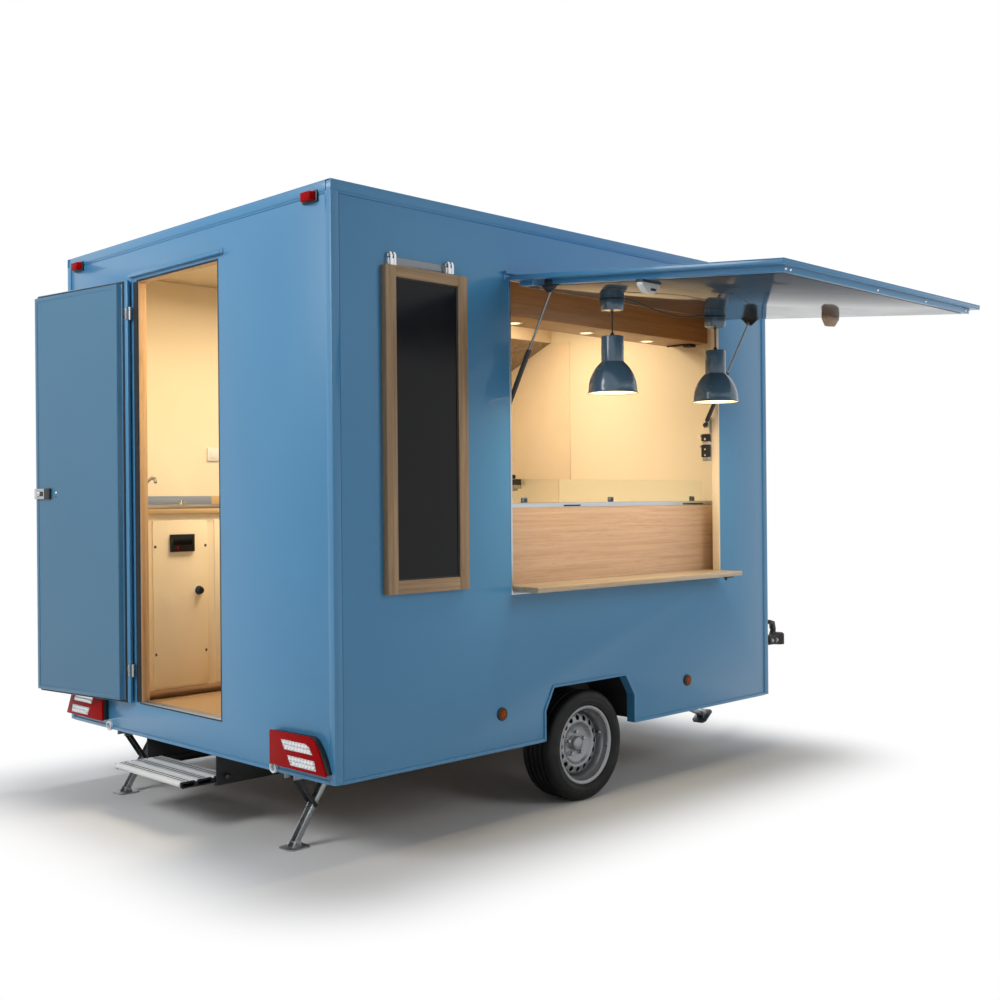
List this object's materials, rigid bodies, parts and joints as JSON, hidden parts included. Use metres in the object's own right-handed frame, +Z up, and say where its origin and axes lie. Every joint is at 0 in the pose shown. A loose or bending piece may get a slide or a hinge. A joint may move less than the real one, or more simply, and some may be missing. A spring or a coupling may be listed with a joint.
{
  "type": "box catering trailer with one axle",
  "caption": "Box catering trailer on one axle, with a lifting serving hatch, folding shelf, hinged rear door, pull-out step, corner steadies and an overrun drawbar.",
  "frame": {"origin": "on the floor, under the centre of the whole outline with the hatch and door open as in the picture", "axes": "+X forward along the drawbar to the coupling, +Y to the left, away from the serving hatch, +Z up"},
  "size_m": [5.067, 3.6892, 2.676],
  "materials": {
    "painted_panel": "gloss blue gelcoat on sandwich panel",
    "floor_sheet": "sealed ply floor",
    "black_steel": "black coat",
    "galvanised": "hot dip galvanised",
    "zinc": "bright zinc plate",
    "tyre_rubber": "moulded road tyre",
    "rim_silver": "silver lacquer",
    "drum_iron": "painted casting",
    "oak": "oiled oak",
    "slate_board": "matt chalk paint",
    "worktop_aluminium": "brushed",
    "clear_glass": "clear float glass",
    "black_plastic": "moulded",
    "red_lens": "moulded lens",
    "marker_lens": "moulded lens",
    "chrome_rod": "polished",
    "cream_laminate": "smooth laminate",
    "hood_brown": "satin",
    "lamp_enamel": "gloss enamel",
    "cord_black": "sheathed flex"
  },
  "bodies": {
    "trailer": {"rear_wall": "painted_panel", "front_wall": "painted_panel", "right_wall": "painted_panel", "left_wall": "painted_panel", "roof_panel": "painted_panel", "floor_panel": "floor_sheet", "wheel_boxes": "black_plastic", "chassis_frame": "galvanised", "drawbar": "galvanised", "overrun_device": "black_steel", "coupling_head": "zinc", "jockey_stand": "zinc", "axle_beam": "galvanised", "swing_arms": "galvanised", "serving_counter": "oak", "back_counter": "cream_laminate", "worktops": "worktop_aluminium", "glass_guard": "clear_glass", "pelmet": "oak", "extractor_hood": "hood_brown", "door_hinges": "zinc", "flap_rail": "painted_panel", "strut_brackets": "zinc", "step_guides": "black_steel", "steady_bases": "zinc", "menu_board_frame": "oak", "menu_board_slate": "slate_board", "tail_lamps": "red_lens", "marker_lamps": "marker_lens"},
    "wheel_right": {"tyre_right": "tyre_rubber", "rim_right": "rim_silver", "drum_right": "drum_iron"},
    "wheel_left": {"tyre_left": "tyre_rubber", "rim_left": "rim_silver", "drum_left": "drum_iron"},
    "jockey_fork": {"jockey_fork": "zinc"},
    "jockey_roller": {"jockey_roller": "tyre_rubber"},
    "door": {"rear_door": "painted_panel"},
    "flap": {"flap": "painted_panel", "flap_fittings": "oak", "pendant_lamps": "lamp_enamel", "pendant_cord_rear": "cord_black", "pendant_cord_front": "cord_black", "link_cable": "cord_black"},
    "strut_barrel_rear": {"strut_barrel_rear": "black_steel"},
    "strut_barrel_front": {"strut_barrel_front": "black_steel"},
    "strut_rod_rear": {"strut_rod_rear": "chrome_rod"},
    "strut_rod_front": {"strut_rod_front": "chrome_rod"},
    "shelf": {"serving_shelf": "oak"},
    "step": {"step": "worktop_aluminium"},
    "steady_strut_rear_right": {"steady_strut_rear_right": "zinc"},
    "steady_leg_rear_right": {"steady_leg_rear_right": "zinc"},
    "steady_strut_rear_left": {"steady_strut_rear_left": "zinc"},
    "steady_leg_rear_left": {"steady_leg_rear_left": "zinc"},
    "steady_strut_front_right": {"steady_strut_front_right": "zinc"},
    "steady_leg_front_right": {"steady_leg_front_right": "zinc"},
    "steady_strut_front_left": {"steady_strut_front_left": "zinc"},
    "steady_leg_front_left": {"steady_leg_front_left": "zinc"}
  },
  "joints": [
    {"name": "wheel_right_spin", "type": "hinge", "parent": "trailer", "child": "wheel_right", "pos_m": [-0.87051, -0.31172, 0.262], "axis": [0, 1, 0], "continuous": true},
    {"name": "wheel_left_spin", "type": "hinge", "parent": "trailer", "child": "wheel_left", "pos_m": [-0.87051, 1.64328, 0.262], "axis": [0, 1, 0], "continuous": true},
    {"name": "jockey_swivel", "type": "hinge", "parent": "trailer", "child": "jockey_fork", "pos_m": [2.01749, 0.88778, 0.222], "axis": [0, 0, 1], "continuous": true},
    {"name": "jockey_spin", "type": "hinge", "parent": "jockey_fork", "child": "jockey_roller", "pos_m": [1.97249, 0.88778, 0.1], "axis": [0, 1, 0], "continuous": true},
    {"name": "door_hinge", "type": "hinge", "parent": "trailer", "child": "door", "pos_m": [-2.39751, 1.10578, 1.484], "axis": [0, 0, 1], "range_deg": [0, 172]},
    {"name": "flap_hinge", "type": "hinge", "parent": "trailer", "child": "flap", "pos_m": [-0.60501, -0.44922, 2.405], "axis": [1, 0, 0], "range_deg": [0, 84.94]},
    {"name": "shelf_fold", "type": "hinge", "parent": "trailer", "child": "shelf", "pos_m": [-0.60751, -0.33922, 1.046], "axis": [-1, 0, 0], "range_deg": [0, 90]},
    {"name": "step_slide", "type": "slide", "parent": "trailer", "child": "step", "axis": [1, 0, 0], "range_m": [0, 0.25]},
    {"name": "strut_rear_turn", "type": "hinge", "parent": "trailer", "child": "strut_barrel_rear", "pos_m": [-1.36751, -0.37422, 1.82], "axis": [-1, 0, 0], "range_deg": [0, 25.17]},
    {"name": "strut_rear_slide", "type": "slide", "parent": "strut_barrel_rear", "child": "strut_rod_rear", "axis": [0, 0.4777, -0.8785], "range_m": [0, 0.2118]},
    {"name": "strut_front_turn", "type": "hinge", "parent": "trailer", "child": "strut_barrel_front", "pos_m": [0.14749, -0.37422, 1.82], "axis": [-1, 0, 0], "range_deg": [0, 25.17]},
    {"name": "strut_front_slide", "type": "slide", "parent": "strut_barrel_front", "child": "strut_rod_front", "axis": [0, 0.4777, -0.8785], "range_m": [0, 0.2118]},
    {"name": "steady_rear_right_swing", "type": "hinge", "parent": "trailer", "child": "steady_strut_rear_right", "pos_m": [-2.29751, -0.04022, 0.305], "axis": [0, -1, 0], "range_deg": [0, 51]},
    {"name": "steady_rear_right_knee", "type": "hinge", "parent": "steady_strut_rear_right", "child": "steady_leg_rear_right", "pos_m": [-2.20492, -0.04022, 0.16243], "axis": [0, -1, 0], "range_deg": [-102.2, 0.2]},
    {"name": "steady_rear_left_swing", "type": "hinge", "parent": "trailer", "child": "steady_strut_rear_left", "pos_m": [-2.29751, 1.37178, 0.305], "axis": [0, -1, 0], "range_deg": [0, 51]},
    {"name": "steady_rear_left_knee", "type": "hinge", "parent": "steady_strut_rear_left", "child": "steady_leg_rear_left", "pos_m": [-2.20492, 1.37178, 0.16243], "axis": [0, -1, 0], "range_deg": [-102.2, 0.2]},
    {"name": "steady_front_right_swing", "type": "hinge", "parent": "trailer", "child": "steady_strut_front_right", "pos_m": [0.55449, -0.04022, 0.305], "axis": [0, 1, 0], "range_deg": [-36.3, 14.7]},
    {"name": "steady_front_right_knee", "type": "hinge", "parent": "steady_strut_front_right", "child": "steady_leg_front_right", "pos_m": [0.39546, -0.04022, 0.24491], "axis": [0, 1, 0], "range_deg": [-29.6, 72.8]},
    {"name": "steady_front_left_swing", "type": "hinge", "parent": "trailer", "child": "steady_strut_front_left", "pos_m": [0.55449, 1.37178, 0.305], "axis": [0, 1, 0], "range_deg": [-36.3, 14.7]},
    {"name": "steady_front_left_knee", "type": "hinge", "parent": "steady_strut_front_left", "child": "steady_leg_front_left", "pos_m": [0.39546, 1.37178, 0.24491], "axis": [0, 1, 0], "range_deg": [-29.6, 72.8]}
  ],
  "couplings": [
    {"joint": "shelf_fold", "follows": "flap_hinge", "ratio": 1.0591},
    {"joint": "strut_rear_turn", "follows": "flap_hinge", "ratio": 0.29392},
    {"joint": "strut_rear_slide", "follows": "flap_hinge", "m_per_rad": 0.14222},
    {"joint": "strut_front_turn", "follows": "flap_hinge", "ratio": 0.29392},
    {"joint": "strut_front_slide", "follows": "flap_hinge", "m_per_rad": 0.14222},
    {"joint": "steady_rear_right_knee", "follows": "steady_rear_right_swing", "ratio": -2},
    {"joint": "steady_rear_left_knee", "follows": "steady_rear_left_swing", "ratio": -2},
    {"joint": "steady_front_right_knee", "follows": "steady_front_right_swing", "ratio": -2},
    {"joint": "steady_front_left_knee", "follows": "steady_front_left_swing", "ratio": -2}
  ]
}
